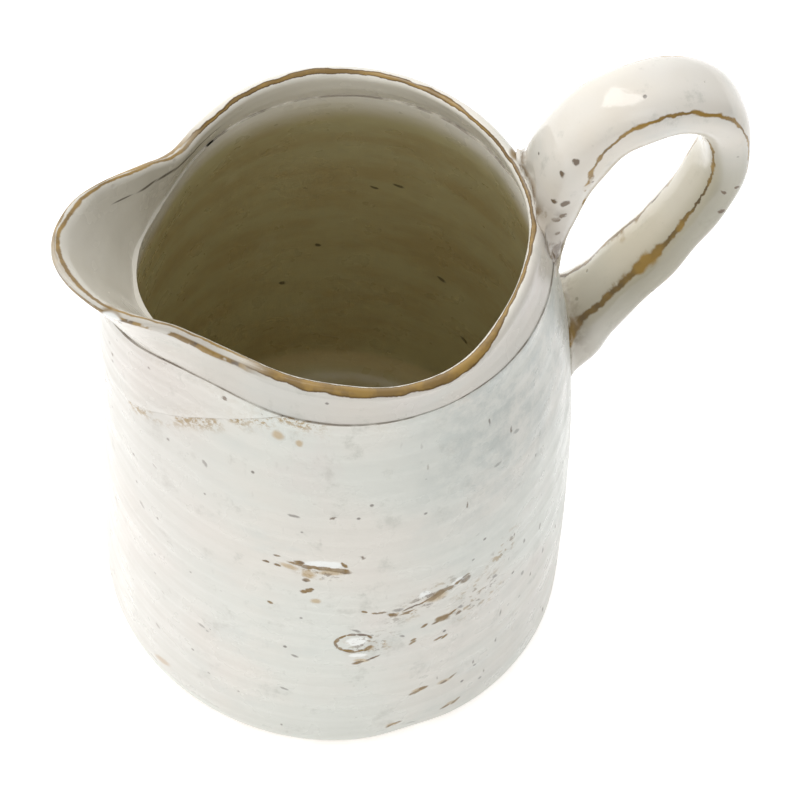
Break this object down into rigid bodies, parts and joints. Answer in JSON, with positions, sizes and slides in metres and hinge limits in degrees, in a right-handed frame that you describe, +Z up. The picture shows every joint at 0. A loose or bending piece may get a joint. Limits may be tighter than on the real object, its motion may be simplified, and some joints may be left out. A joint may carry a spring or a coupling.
{
  "type": "ceramic pitcher",
  "caption": "Glazed stoneware pitcher with a round body, a luted collar drawn out into a pouring spout, and a strap handle that arches over the rim.",
  "frame": {"origin": "centre of the flat underside that the pitcher stands on", "axes": "+Z up, -X towards the tip of the spout, +X towards the handle, +Y to the left of someone who looks along +X"},
  "size_m": [0.2236, 0.1566, 0.2483],
  "materials": {
    "glaze_base": "glossy off-white glaze on stoneware, thinner at the foot",
    "glaze_body": "glossy off-white reactive glaze on stoneware with brown specks, chips and scuffs",
    "glaze_throat": "glossy off-white reactive glaze on stoneware",
    "glaze_rim": "glossy off-white glaze that breaks to golden brown on the rim's edge",
    "glaze_root": "glossy off-white glaze with purple-brown stains",
    "glaze_handle": "glossy off-white glaze that breaks to brown along the strap's edges"
  },
  "bodies": {
    "root": {"base_slab": "glaze_base", "body_wall": "glaze_body", "spout_throat": "glaze_throat", "rim_collar": "glaze_rim", "handle_upper_root": "glaze_root", "handle_strap": "glaze_handle", "handle_lower_root": "glaze_root"}
  },
  "joints": []
}
